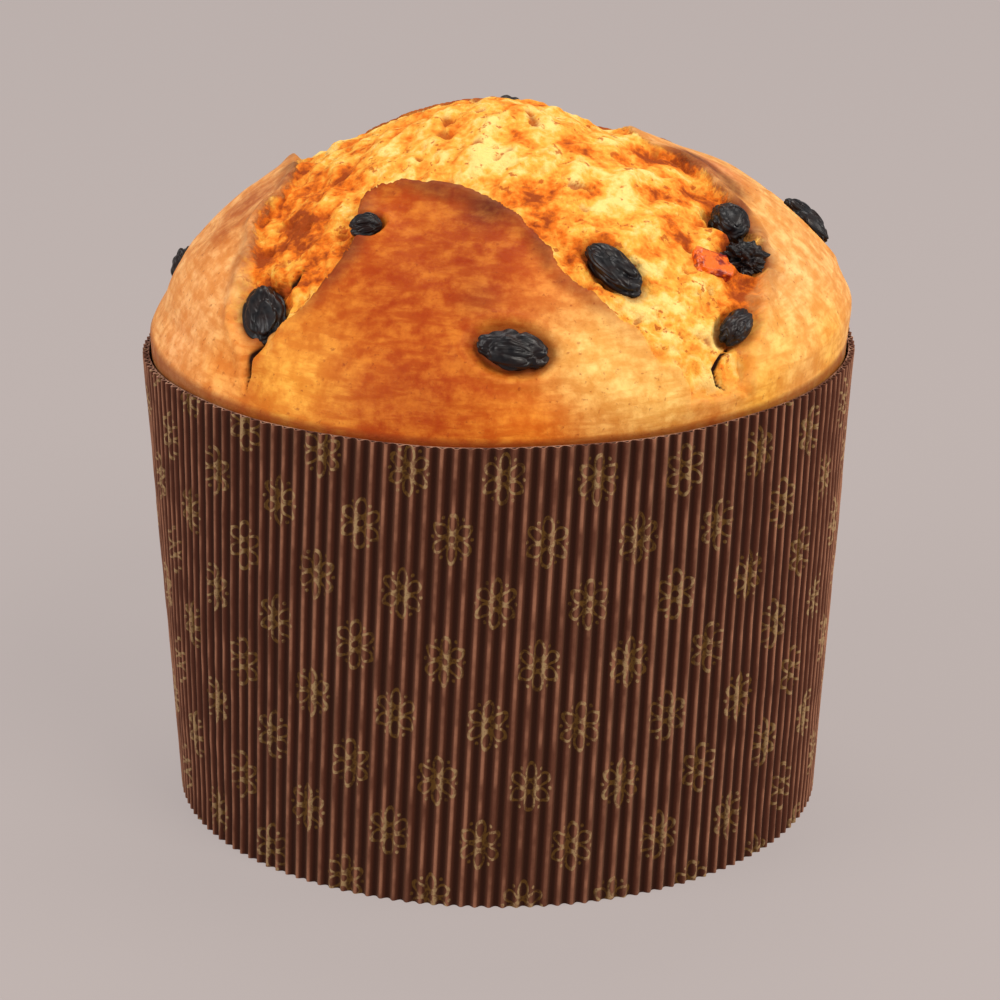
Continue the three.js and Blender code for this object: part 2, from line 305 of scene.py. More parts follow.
def makeStudio():
    deselectAll()
    bpy.ops.mesh.primitive_plane_add(size=studio["floorWidth"] * mm, location=(0, 0, 0))
    floor = bpy.context.object
    floor.name = "studioFloor"
    material, tree, shader = newMaterial("studioFloorPaint")
    setInputs(shader, {"Base Color": rgba(studio["floorColor"]), "Roughness": 0.9, "Specular IOR Level": 0.1})
    rays = tree.nodes.new("ShaderNodeLightPath").outputs
    inMirrors = mathNode(tree, "MAXIMUM", rays["Is Glossy Ray"], rays["Is Transmission Ray"])
    seen = mathNode(tree, "MAXIMUM", rays["Is Camera Ray"], inMirrors)
    glow = tree.nodes.new("ShaderNodeEmission")
    glow.inputs["Color"].default_value = rgba(studio["floorColor"])
    both = tree.nodes.new("ShaderNodeMixShader")
    wire(tree, mathNode(tree, "MULTIPLY", seen, studio["floorGlow"]), both.inputs[0])
    tree.links.new(shader.outputs[0], both.inputs[1])
    tree.links.new(glow.outputs[0], both.inputs[2])
    tree.links.new(both.outputs[0], tree.nodes["Material Output"].inputs["Surface"])
    floor.data.materials.append(material)
    world = bpy.data.worlds.new("studioWorld")
    world.use_nodes = True
    background = world.node_tree.nodes["Background"]
    setInputs(background, {"Color": rgba(studio["worldColor"]), "Strength": studio["worldStrength"]})
    bpy.context.scene.world = world
    for name, azimuth, elevation, distance, width, watts, color in studio["lamps"]:
        a, e = math.radians(azimuth), math.radians(elevation)
        direction = np.array([math.sin(a) * math.cos(e), -math.cos(a) * math.cos(e), math.sin(e)])
        place = np.array(studio["lampAim"], float) + distance * direction
        deselectAll()
        bpy.ops.object.light_add(type="AREA", location=place * mm)
        lamp = bpy.context.object
        lamp.name = name
        lamp.rotation_euler = (math.pi / 2 - e, 0, a)
        lamp.data.shape = "DISK"
        lamp.data.size = width * mm
        lamp.data.energy = watts
        lamp.data.color = linear(color)
    bpy.context.scene.view_settings.view_transform = "Standard"
    print("studio ready")


# What the frame says of the case
def measureCase():
    points = readPoints(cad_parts["case_wall"])
    near = 0.01
    onTable = points[:, 2] < near
    atRim = points[:, 2] > points[:, 2].max() - near
    radius = np.hypot(points[:, 0], points[:, 1])
    return {
        "height": points[:, 2].max(),
        "baseRadius": np.abs(points[onTable, :2]).max(),
        "rimRadius": np.abs(points[atRim, :2]).max(),
        "rimInside": radius[atRim].min(),
        "footInside": radius[onTable].min(),
        "footTop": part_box("base_disc")[0].z / mm,
    }


case = measureCase()
case["board"] = case["rimRadius"] - case["rimInside"]
coneSine = math.sin(math.atan2(case["rimRadius"] - case["baseRadius"], case["height"]))


def innerRadius(z):
    return case["baseRadius"] + (case["rimRadius"] - case["baseRadius"]) * z / case["height"] - case["board"]


# The wall: a fluted sheet glued on a smooth liner, rolled and glued to itself at the back
wall = {
    "flutePitch": 3.12,
    "fluteAzimuth": 45,  # where the flutes run straight up
    "stepsPerFlute": 10,
    "rows": 26,
    "fluteFullness": 1.25,  # over 1 makes the crests narrower than the valleys
    "paper": 0.26,
    "liner": 0.36,
    "lapWidth": 11,
    "lapRise": 1.1,
    "unevenness": 0.22,
    "unevenSpans": [(26, 1, 0), (7, 0.35, 0)],  # size, strength and seed
    "evenFoot": 12,
    "crush": 0.1,
    "crushSpan": 4.5,
    "lengthSteps": 41,
    "linerSides": 330,
    "linerBelow": 0.15,
    "rimBelow": 0.35,
    "rimWaves": [(0.22, 3, 1), (0.12, 11, 0)],  # rise, waves around and start
    "rimDips": [(-106, 5.2, 38), (94, 2.8, 24)],  # where the sheet was cut short: azimuth, depth and spread
}
fluteEdgeAngle = math.radians(50)
boardEdgeAngle = math.radians(40)


def fluteWave(phase):
    """From 0 in the flutes' valleys to 1 on their crests."""
    return (0.5 - 0.5 * np.cos(2 * np.pi * phase)) ** wall["fluteFullness"]


def rimHeight(azimuth):
    height = case["height"] - wall["rimBelow"]
    for rise, waves, start in wall["rimWaves"]:
        height = height + rise * np.sin(waves * azimuth + start)
    for middle, depth, spread in wall["rimDips"]:
        away = (np.degrees(azimuth) - middle + 180) % 360 - 180
        height = height - depth * bump(away, 0, spread)
    return height


def makeFlutedSheet():
    bottomSlant = case["baseRadius"] / coneSine
    topSlant = case["rimRadius"] / coneSine
    pitch = wall["flutePitch"]
    lapAngle = wall["lapWidth"] / case["rimRadius"]
    endAngles = {-1: math.pi * coneSine, 1: (math.pi + lapAngle) * coneSine}
    flutes = {side: int(topSlant * math.sin(angle) / pitch) for side, angle in endAngles.items()}
    fluteCount = flutes[-1] + flutes[1]
    piece, across, up = gridPiece("fluted_sheet", fluteCount * wall["stepsPerFlute"], wall["rows"])
    across = (across * fluteCount - flutes[-1]) * pitch
    endAngle = np.where(across > 0, endAngles[1], endAngles[-1])
    reach = np.abs(across)
    startOfRow = np.sqrt(np.maximum(bottomSlant**2 - reach**2, 0))
    cutEnd = reach / np.tan(endAngle)
    low = np.where(reach <= bottomSlant * np.sin(endAngle), startOfRow, cutEnd)
    high = np.sqrt(topSlant**2 - reach**2)
    along = low + (high - low) * up
    slant = np.hypot(across, along)
    turned = np.arcsin(across / slant) / coneSine
    azimuth = math.radians(wall["fluteAzimuth"]) + turned
    flare = case["rimRadius"] - case["baseRadius"]
    z = (slant * coneSine - case["baseRadius"]) / flare * case["height"]
    z = z * rimHeight(azimuth) / case["height"]
    phase = across / pitch
    crest = fluteWave(phase)
    lapped = smooth(turned, math.pi - lapAngle, math.pi)
    rolled = planPoint(azimuth, innerRadius(z), z)
    uneven = wall["unevenness"] * layered(rolled, wall["unevenSpans"]) * smooth(z, 0, wall["evenFoot"])
    crush = wall["crush"] * ripple(rolled, wall["crushSpan"], seed=7) * crest
    depth = case["board"] - wall["liner"] - wall["paper"]
    radius = (innerRadius(z) + wall["liner"] + wall["paper"] + depth * crest
              + lapped * wall["lapRise"] + uneven + crush)
    writePoints(piece, planPoint(azimuth, radius, z))
    # the print was laid on the flat paper, before it was fluted, so it follows the paper's own length
    shares = np.linspace(0, 1, wall["lengthSteps"])
    waves = depth * fluteWave(shares)
    lengths = np.concatenate([[0], np.cumsum(np.hypot(np.diff(shares * pitch), np.diff(waves)))])
    paperLength = np.floor(phase) * lengths[-1] + np.interp(phase % 1, shares, lengths)
    stretch = lengths[-1] / pitch
    turn = math.radians(rosette["turn"]) * coneSine
    printAcross = paperLength - stretch * math.sin(turn) * along
    printAlong = along - bottomSlant + math.sin(turn) * across
    addAttribute(piece, "sheet", np.stack([printAcross, printAlong, phase], -1), "FLOAT_VECTOR")
    piece.data.materials.append(printedPaper(stretch))
    piece.data.materials.append(cutPaper())
    addModifier(piece, "SOLIDIFY", thickness=wall["paper"] * mm, offset=-1, material_offset_rim=1)
    applyModifiers(piece)
    bpy.ops.object.shade_smooth_by_angle(angle=fluteEdgeAngle)
    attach(piece, "root")
    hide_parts("case_wall")
    print("fluted sheet:", len(piece.data.polygons), "faces")


def makeLiner():
    height = case["height"]
    deselectAll()
    bpy.ops.mesh.primitive_cone_add(vertices=wall["linerSides"], end_fill_type="NOTHING", depth=height * mm,
                                    radius1=innerRadius(0) * mm, radius2=innerRadius(height) * mm,
                                    location=(0, 0, height / 2 * mm))
    piece = bpy.context.object
    piece.name = "smooth_liner"
    bpy.ops.object.transform_apply(location=True, rotation=True, scale=True)
    points = readPoints(piece)
    azimuth = np.arctan2(points[:, 0], -points[:, 1])
    top = points[:, 2] > height / 2
    points[top, 2] = rimHeight(azimuth[top]) - wall["linerBelow"]
    writePoints(piece, points)
    piece.data.materials.append(linerPaper())
    piece.data.materials.append(cutPaper())
    addModifier(piece, "SOLIDIFY", thickness=wall["liner"] * mm, offset=1, material_offset_rim=1)
    applyModifiers(piece)
    bpy.ops.object.shade_smooth_by_angle(angle=boardEdgeAngle)
    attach(piece, "root")
    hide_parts("case_wall")


# The foot: the end of the wall, pressed flat and turned in under the base disc, in small pleats
foot = {
    "pleats": 150,
    "stepsPerPleat": 4,
    "rings": 10,
    "thickness": 1.1,
    "lift": 0.06,
    "pleatLevel": 0.192,
    "pleatWave": 0.08,
    "pleatStart": 0.25,
    "weld": 0.01,
}


def makeFoot():
    outside = innerRadius(0) + wall["liner"]
    piece, around, inward = gridPiece("turned_in_foot", foot["pleats"] * foot["stepsPerPleat"], foot["rings"])
    azimuth = around * 2 * np.pi
    radius = outside + (case["footInside"] - outside) * inward
    pleat = foot["pleatLevel"] + foot["pleatWave"] * np.cos(azimuth * foot["pleats"])
    pleat = pleat * smooth(inward, 0, foot["pleatStart"])
    writePoints(piece, planPoint(azimuth, radius, pleat + foot["lift"]))
    piece.data.materials.append(linerPaper())
    piece.data.materials.append(cutPaper())
    makeActive(piece)
    bpy.ops.object.mode_set(mode="EDIT")
    bpy.ops.mesh.select_all(action="SELECT")
    bpy.ops.mesh.remove_doubles(threshold=foot["weld"] * mm)
    bpy.ops.mesh.normals_make_consistent(inside=False)
    bpy.ops.object.mode_set(mode="OBJECT")
    facing = 1 if readNormals(piece)[:, 2].mean() < 0 else -1
    addModifier(piece, "SOLIDIFY", thickness=foot["thickness"] * mm, offset=-facing, material_offset_rim=1)
    applyModifiers(piece)
    bpy.ops.object.shade_smooth_by_angle(angle=boardEdgeAngle)
    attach(piece, "root")
    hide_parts("case_wall")


# The print is a generic scatter of six-petalled rosettes, drawn in thin gold lines
rosette = {
    "columnGap": 20.83,  # across the flutes of the finished wall
    "rowGap": 29.75,
    "shiftAcross": -23.0,
    "shiftUp": 58.3,
    "turn": 8.66,  # the print isn't quite in line with the flutes
    "petalMiddle": 3.7,
    "petalLength": 2.15,
    "petalWidth": 1.35,
    "petalLine": 0.27,
    "heartRadius": 1.1,
    "heartLine": 0.34,
    "dotRadius": 0.55,
    "dotMiddle": 5.5,
    "sharpness": 0.6,  # how much of a line's width is full ink
}
paperTones = {
    # crest: partly wear, partly painted highlight on the crests
    "crest": (168, 114, 88),
    "side": (84, 39, 25),
    # valley: painted shade deep in the flutes' valleys
    "valley": (50, 15, 4),
    "gold": (178, 148, 106),
    # goldInValleyShade: the gold ink with painted shade, in the valleys
    "goldInValleyShade": (104, 72, 24),
    # cut: painted highlight on the cut edges, laid in dashes
    "cut": (166, 124, 102),
    "plainCutEdge": (104, 62, 46),
    "stain": (82, 47, 32),
    "inside": (70, 42, 30),
    "sheen": (240, 186, 150),
}


def lineNode(tree, value, middle, halfWidth):
    """1 where a value lies within half a line's width of the middle."""
    gap = mathNode(tree, "ABSOLUTE", mathNode(tree, "SUBTRACT", value, middle))
    return rangeNode(tree, gap, halfWidth, halfWidth * rosette["sharpness"])


def turnedNodes(tree, radius, angle, middle):
    """A point's place along and across a ray at that angle, from a middle on the ray."""
    along = mathNode(tree, "MULTIPLY", radius, mathNode(tree, "COSINE", angle))
    across = mathNode(tree, "MULTIPLY", radius, mathNode(tree, "SINE", angle))
    return mathNode(tree, "SUBTRACT", along, middle), across


def rosetteMask(tree, across, along, halfStep, stretch):
    """1 on the gold lines of one of the two lattices of rosettes."""
    local = []
    for value, gap, shift in ((across, rosette["columnGap"] * stretch, rosette["shiftAcross"] * stretch),
                              (along, rosette["rowGap"], rosette["shiftUp"])):
        moved = mathNode(tree, "DIVIDE", mathNode(tree, "SUBTRACT", value, shift), gap)
        wrapped = mathNode(tree, "WRAP", mathNode(tree, "ADD", moved, halfStep), 0.5, -0.5)
        local.append(mathNode(tree, "MULTIPLY", wrapped, gap))
    radius = lengthNode(tree, *local)
    angle = mathNode(tree, "ARCTAN2", *local)
    halfPetal = math.pi / 6
    onPetal = mathNode(tree, "WRAP", angle, halfPetal, -halfPetal)
    x, y = turnedNodes(tree, radius, onPetal, rosette["petalMiddle"])
    x = mathNode(tree, "DIVIDE", x, rosette["petalLength"])
    y = mathNode(tree, "DIVIDE", y, rosette["petalWidth"])
    petals = lineNode(tree, lengthNode(tree, x, y), 1.0, rosette["petalLine"])
    heart = lineNode(tree, radius, rosette["heartRadius"], rosette["heartLine"])
    between = mathNode(tree, "WRAP", mathNode(tree, "ADD", angle, halfPetal), halfPetal, -halfPetal)
    x, y = turnedNodes(tree, radius, between, rosette["dotMiddle"])
    dots = lineNode(tree, lengthNode(tree, x, y), 0.0, rosette["dotRadius"])
    return mathNode(tree, "MAXIMUM", mathNode(tree, "MAXIMUM", petals, heart), dots)


def printedPaper(stretch):
    material, tree, shader = newMaterial("printedFlutedPaper")
    sheet = splitNode(tree, attributeNode(tree, "sheet", "Vector"))
    crest = mathNode(tree, "COSINE", mathNode(tree, "MULTIPLY", sheet[2], 2 * math.pi))
    crest = mathNode(tree, "MULTIPLY_ADD", crest, -0.5, 0.5)
    fibres = noiseNode(tree, objectCoordinates(tree), 0.7, 4)
    tones = rgbaTones(paperTones)
    # painted shade: the paper darkens from the flutes' sides into their valleys
    base = mixNode(tree, rangeNode(tree, crest, 0.15, 0.8), tones["valley"], tones["side"])
    # the crests lighter in patches, partly wear and partly painted highlight
    patches = spotsNode(tree, 9, 3, 0.3, 0.7, 0.15, 1.0)
    wornAndHighlit = mathNode(tree, "MULTIPLY", rangeNode(tree, crest, 0.72, 1.0), patches)
    base = mixNode(tree, wornAndHighlit, base, tones["crest"])
    gold = mathNode(tree, "MAXIMUM", rosetteMask(tree, sheet[0], sheet[1], 0.0, stretch),
                    rosetteMask(tree, sheet[0], sheet[1], 0.5, stretch))
    inked = mathNode(tree, "MULTIPLY", gold, spotsNode(tree, 0.9, 3, 0.4, 0.54, 0.3))
    # the gold ink with painted shade in the valleys, lighter on the crests
    ink = mixNode(tree, rangeNode(tree, crest, 0.35, 0.9), tones["goldInValleyShade"], tones["gold"])
    color = grainNode(tree, 0.5, mixNode(tree, inked, base, ink), fibres, 96, 160)
    wire(tree, color, shader.inputs["Base Color"])
    wire(tree, rangeNode(tree, inked, 0, 1, 0.62, 0.42), shader.inputs["Roughness"])
    setInputs(shader, {"Specular IOR Level": 0.12, "Sheen Weight": 0.5, "Sheen Roughness": 0.45,
                       "Sheen Tint": tones["sheen"]})
    wire(tree, bumpNode(tree, fibres, 0.08, 0.6), shader.inputs["Normal"])
    return material


def cutPaper():
    if "cutPaperEdge" in bpy.data.materials:
        return bpy.data.materials["cutPaperEdge"]
    material, tree, shader = newMaterial("cutPaperEdge")
    # the cut edge's own colour, with dashes of painted highlight
    highlightDashes = spotsNode(tree, 5, 2, 0.42, 0.6)
    color = mixNode(tree, highlightDashes, rgba(paperTones["plainCutEdge"]), rgba(paperTones["cut"]))
    wire(tree, color, shader.inputs["Base Color"])
    shader.inputs["Roughness"].default_value = 0.9
    fibres = noiseNode(tree, objectCoordinates(tree), 0.3, 3)
    wire(tree, bumpNode(tree, fibres, 0.1), shader.inputs["Normal"])
    return material


def linerPaper():
    if "linerPaper" in bpy.data.materials:
        return bpy.data.materials["linerPaper"]
    material, tree, shader = newMaterial("linerPaper")
    fibres = noiseNode(tree, objectCoordinates(tree), 0.8, 4)
    stains = spotsNode(tree, 14, 3, 0.35, 0.65)
    color = mixNode(tree, stains, rgba(paperTones["stain"]), rgba(paperTones["inside"]))
    color = grainNode(tree, 0.5, color, fibres, 90, 165)
    wire(tree, color, shader.inputs["Base Color"])
    shader.inputs["Roughness"].default_value = 0.8
    wire(tree, bumpNode(tree, fibres, 0.1, 0.7), shader.inputs["Normal"])
    return material


boardTones = {"dry": (122, 82, 56), "greasy": (92, 56, 34)}


def finishBaseDisc():
    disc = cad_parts["base_disc"]
    material, tree, shader = newMaterial("baseBoard")
    fibres = noiseNode(tree, objectCoordinates(tree), 0.9, 5, stretch=(1, 3, 1))
    grease = spotsNode(tree, 24, 3, 0.5, 0.62)
    color = mixNode(tree, grease, rgba(boardTones["dry"]), rgba(boardTones["greasy"]))
    color = grainNode(tree, 0.6, color, fibres, 88, 168)
    wire(tree, color, shader.inputs["Base Color"])
    shader.inputs["Roughness"].default_value = 0.82
    wire(tree, bumpNode(tree, fibres, 0.12, 0.7), shader.inputs["Normal"])
    disc.data.materials.clear()
    disc.data.materials.append(material)


# The loaf
loaf = {
    "cells": 300,  # each way
    "domeShare": 0.955,  # how much of the way from the crown outwards is dome, the rest being its hidden side
    "shoulder": 1.34,
    "crown": 1.015,
    "lean": 0.03,
    "drawIn": 0.008,
    "leanStart": 7,
    "crownRise": 4.2,
    "crownSpread": 28,
    "domeHeight": 49.6,
    "tearDepth": 2.2,
    "flapLift": 1.3,
    "flapEdge": 5,
    "lipRise": 1.4,
    "lipWidth": 1.6,
    "overhang": 1.4,
    # azimuth and height of the tears' lower ends
    "closedBelow": [(-140, 8), (-46, 15), (40, 5), (90, 5), (136, 8)],
    "profileSteps": 600,
    "rimSlack": 0.3,
    "caseSlack": 0.35,
    # how the lower ends wander, and how steeply they close
    "closedWave": 1.6,
    "closedSpan": 5,
    "closedSlope": 0.8,
    "slopeStep": 0.6,
    "crustEdge": (-0.9, 0.5),
    "lipStart": (14, 30),
    "lipMiddle": 0.6,
    # how far the flaps' edges wander, as size, strength and step of the seed
    "warps": [(11, 1.7, 0), (4, 0.9, 2), (2.2, 0.3, 4)],
    "warpSeeds": (3, 13),
    "crustSwell": [(22, 0.75, 31), (7, 0.22, 33)],
    # size, seed, where they start and are full, depth
    "holes": [(4.6, 51, 0.38, 0.66, 1.3), (2.2, 53, 0.34, 0.6, 0.5)],
    "lumpRise": 1.15,
    "lumpSpan": 8,
    "strandRise": 1.1,
    "strandSpan": 3.6,
    "strandStretch": 3.2,
    "strandThrough": 0.4,
    "strandAlong": (1.0, -0.3, -0.9),
    "strandAcross": (0.8, -0.5, 0.9),
}
loaf["foot"] = innerRadius(case["height"]) - loaf["rimSlack"]

# Four flaps of crust round the cross-shaped tear, in plan
flapOutlines = {
    "front": [
        (-60, -62), (-51.7, -54.5), (-42.2, -52.3), (-35.8, -48.8), (-29.3, -42.2), (-29.5, -30),
        (-22, -27.5), (-13, -31.3), (2.4, -40), (10.1, -53.5), (19.8, -60.7), (30.5, -65.3),
        (41.5, -67.5), (50, -74), (30, -100), (-35, -100),
    ],
    "right": [
        (60, -68), (53.8, -57), (58, -41.7), (60.1, -26), (51.9, -15.5), (48.7, -6), (43.5, 3.6),
        (31.5, 2.5), (27, 20), (36, 40), (50, 54), (62, 66), (100, 40), (100, -40),
    ],
    "back": [
        (52, 72), (42, 60), (24, 44), (4, 35), (-18, 37), (-32, 47), (-48, 62), (-58, 72),
        (-35, 100), (35, 100),
    ],
    "left": [
        (-62, 70), (-52, 53), (-47, 30), (-46, 8), (-46.7, -7.6), (-53.3, -12.8), (-56.2, -24.6),
        (-57.6, -37.5), (-58.3, -47.8), (-66, -58), (-100, -40), (-100, 40),
    ],
}


def roundedOutline(points, rounds=2):
    outline = np.array(points, float)
    for _ in range(rounds):
        following = np.roll(outline, -1, 0)
        quarters = [0.75 * outline + 0.25 * following, 0.25 * outline + 0.75 * following]
        outline = np.stack(quarters, 1).reshape(-1, 2)
    return outline


def depthInside(outline, x, y):
    """How far each plan point lies inside an outline, negative outside it."""
    nearest = np.full(x.shape, 1e9)
    inside = np.zeros(x.shape, bool)
    for (ax, ay), (bx, by) in zip(outline, np.roll(outline, -1, 0)):
        dx, dy = bx - ax, by - ay
        share = np.clip(((x - ax) * dx + (y - ay) * dy) / (dx**2 + dy**2), 0, 1)
        nearest = np.minimum(nearest, np.hypot(x - ax - share * dx, y - ay - share * dy))
        if ay != by:
            inside ^= ((ay > y) != (by > y)) & (x < ax + (y - ay) * dx / dy)
    return np.where(inside, nearest, -nearest)


flapRounded = {name: roundedOutline(points) for name, points in flapOutlines.items()}


def flapDepth(x, y):
    return np.max([depthInside(outline, x, y) for outline in flapRounded.values()], axis=0)


def domeProfile(lift):
    radius = loaf["foot"] * np.maximum(np.cos(lift), 0) ** loaf["shoulder"]
    over = loaf["domeHeight"] * np.maximum(np.sin(lift), 0) ** loaf["crown"]
    return radius, over


def onDome(azimuthDegrees, over):
    """The point of the plain dome at an azimuth and a height over the rim."""
    azimuth = np.radians(azimuthDegrees)
    lift = np.arcsin(np.clip(over / loaf["domeHeight"], 0, 1) ** (1 / loaf["crown"]))
    radius = domeProfile(lift)[0]
    lean = 1 + (loaf["lean"] * np.sin(azimuth) - loaf["drawIn"]) * np.minimum(1, over / loaf["leanStart"])
    return planPoint(azimuth, np.minimum(loaf["foot"], radius * lean), case["height"] + over)


def plainLoaf():
    """The dome without its tears, and the side that the case hides, as a square sheet drawn out round."""
    piece, across, down = gridPiece("baked_loaf", loaf["cells"], loaf["cells"])
    a, b = across * 2 - 1, down * 2 - 1
    wide = np.abs(a) > np.abs(b)
    main = np.where(wide, a, b)
    other = np.where(wide, b, a)
    slope = np.divide(other, main, out=np.zeros_like(main), where=np.abs(main) > 1e-9) * np.pi / 4
    angle = np.where(wide, slope, np.pi / 2 - slope)
    x, y = main * np.cos(angle), main * np.sin(angle)
    share = np.hypot(x, y)
    azimuth = np.arctan2(x, -y)
    lifts = np.linspace(np.pi / 2, 0, loaf["profileSteps"])
    radii, overs = domeProfile(lifts)
    run = np.concatenate([[0], np.cumsum(np.hypot(np.diff(radii), np.diff(overs)))])
    lift = np.interp(share / loaf["domeShare"] * run[-1], run, lifts)
    points = onDome(np.degrees(azimuth), domeProfile(lift)[1])
    hidden = share > loaf["domeShare"]
    fall = np.clip((share - loaf["domeShare"]) / (1 - loaf["domeShare"]), 0, 1) ** 2
    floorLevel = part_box("loaf")[0].z / mm
    z = case["height"] - (case["height"] - floorLevel) * fall[hidden]
    points[hidden] = planPoint(azimuth[hidden], innerRadius(z) - loaf["caseSlack"], z)
    writePoints(piece, points)
    return piece, points, azimuth


def fruitFrame(node):
    """The middle of a piece of fruit, its own axes from the longest to the shortest, and its half sizes."""
    points = readPoints(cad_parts[node])
    centre = points.mean(0)
    axes = np.linalg.eigh(np.cov((points - centre).T))[1].T[::-1]
    if np.linalg.det(axes) < 0:
        axes[2] *= -1
    return centre, axes, np.abs((points - centre) @ axes.T).max(0)


raisinNodes = sorted(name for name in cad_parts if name.startswith("raisin"))
peelNodes = sorted(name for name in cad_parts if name.startswith("candied_peel"))
fruitFrames = {name: fruitFrame(name) for name in raisinNodes + peelNodes}

# The dough round the fruit: depths and rises, and where they are, 1 being the fruit's skin
fruitBed = {
    "near": 22,
    "ring": 0.5,
    "ringAt": 1.6,
    "ringWidth": 0.25,
    "moat": 1.7,
    "moatAt": 1.0,
    "moatWidth": 0.3,
    "hollow": 1.2,
    "shade": (1.0, 1.45),
}

# Cracks in the crust, as azimuth and height over the rim along each, with its widest half width and its depth
cracks = [
    ([(-47.2, 28), (-47.6, 25), (-48.4, 22)], 1.2, 2.6),
    ([(-46.5, 17), (-44.8, 13.4), (-46.2, 10.6), (-45.8, 7.7), (-45.0, 4.2)], 1.5, 3.2),
    ([(44.5, 15), (40.2, 13.6), (37.9, 11.2), (37.6, 8.2), (40.1, 4.4)], 0.7, 1.8),
    ([(136, 20), (138, 15), (134, 9), (137, 4)], 0.9, 2.2),
    ([(-133, 18), (-136, 12), (-134, 6)], 0.9, 2.2),
]


def alongCrack(points, route):
    """Distance from a crack's line, and how far along it, from 0 to 1, the nearest place is."""
    line = np.array([onDome(azimuth, over) for azimuth, over in route])
    nearest = np.full(len(points), 1e9)
    where = np.zeros(len(points))
    for i in range(len(line) - 1):
        step = line[i + 1] - line[i]
        share = np.clip(((points - line[i]) @ step) / (step @ step), 0, 1)
        gap = np.linalg.norm(points - line[i] - share[:, None] * step, axis=1)
        closer = gap < nearest
        nearest[closer] = gap[closer]
        where[closer] = (i + share[closer]) / (len(line) - 1)
    return nearest, where


# Where the dome stands under or over its even shape: azimuth, height over the rim, reach, rise
swells = [
    (142, 37.3, 20, -2.8),
    (123, 29.4, 13, 1.5),
]
# Where the flaps' lips lie flat: azimuth, height over the rim, reach, what is left of the lip, strength
flatLips = [
    (126, 42, 15, 0.0, 0.95),
    (100, 42, 11, 0.1, 0.8),
    (-106, 36, 15, 0.0, 0.95),
]

# Baked tones and a painted highlight: first the plain tone of each flap, then spots of other tones.
# Each spot has its azimuth, height over the rim, reach, colour and strength.
flapTones = {
    "front": (206, 112, 22),
    "right": (246, 200, 142),
    "back": (218, 134, 48),
    "left": (250, 196, 142),
}
bakedSpotsAndHighlight = [
    (-9, 33, 17, (184, 88, 8), 0.92),
    (-20, 27, 13, (190, 94, 14), 0.85),
    (-3.7, 27, 5, (164, 78, 38), 0.6),
    (12, 36, 9, (188, 92, 34), 0.6),
    (-2.3, 40, 6, (112, 50, 36), 0.95),
    (-14, 42, 5, (150, 70, 34), 0.7),
    (12, 29, 8, (222, 132, 60), 0.7),
    # painted highlight: the next two cream spots, low on the front flap's right
    (17, 15.6, 14, (255, 226, 158), 0.95),
    (27, 9, 13, (255, 222, 150), 0.95),
    (-13, 10.5, 9, (188, 86, 6), 0.85),
    (-19, 5, 7, (194, 94, 12), 0.7),
    (-36, 8, 13, (255, 196, 94), 0.95),
    (5, 4, 9, (244, 156, 48), 0.7),
    (-72, 14, 15, (255, 202, 150), 0.7),
    (-68, 5, 9, (255, 198, 150), 0.7),
    (-52, 6, 8, (252, 180, 96), 0.7),
    (-91, 30, 9, (186, 108, 74), 0.8),
    (-41, 23, 3.5, (150, 92, 66), 0.8),
    (-38.5, 27, 3.5, (146, 92, 74), 0.8),
    (-37, 31, 3.5, (130, 74, 54), 0.8),
    (-24, 42, 5, (142, 66, 36), 0.7),
    (-80, 26, 7, (196, 120, 70), 0.7),
    (66, 19, 15, (248, 210, 160), 0.85),
    (53, 12, 9, (255, 218, 140), 0.7),
    (68, 5, 11, (255, 206, 106), 0.8),
    (46, 3, 9, (255, 208, 100), 0.85),
    (95, 37, 9, (238, 150, 118), 0.8),
    (84, 42.7, 4, (112, 38, 16), 0.85),
    (87, 41, 4, (112, 38, 16), 0.85),
    (92, 39.5, 4, (112, 38, 16), 0.85),
    (98, 38, 4, (100, 32, 14), 0.9),
    (92, 36.7, 3.5, (112, 38, 16), 0.85),
    (88.5, 34.9, 3.5, (112, 38, 16), 0.85),
    (84, 33.9, 3.5, (112, 38, 16), 0.85),
    (-105, 35.5, 5, (112, 42, 26), 0.85),
    (-99, 36.8, 4, (118, 46, 28), 0.85),
    (-92, 36, 4.5, (150, 74, 46), 0.7),
    (150, 20, 20, (196, 96, 34), 0.7),
    (-165, 12, 16, (234, 158, 84), 0.6),
    (178, 5, 10, (204, 100, 34), 0.6),
    (-120, 12, 16, (236, 164, 106), 0.6),
    (115, 8, 14, (240, 170, 100), 0.6),
]
crumbTones = {
    "pale": (243, 208, 124),
    "gold": (236, 170, 66),
    "orange": (220, 112, 24),
    "brown": (150, 64, 16),
}
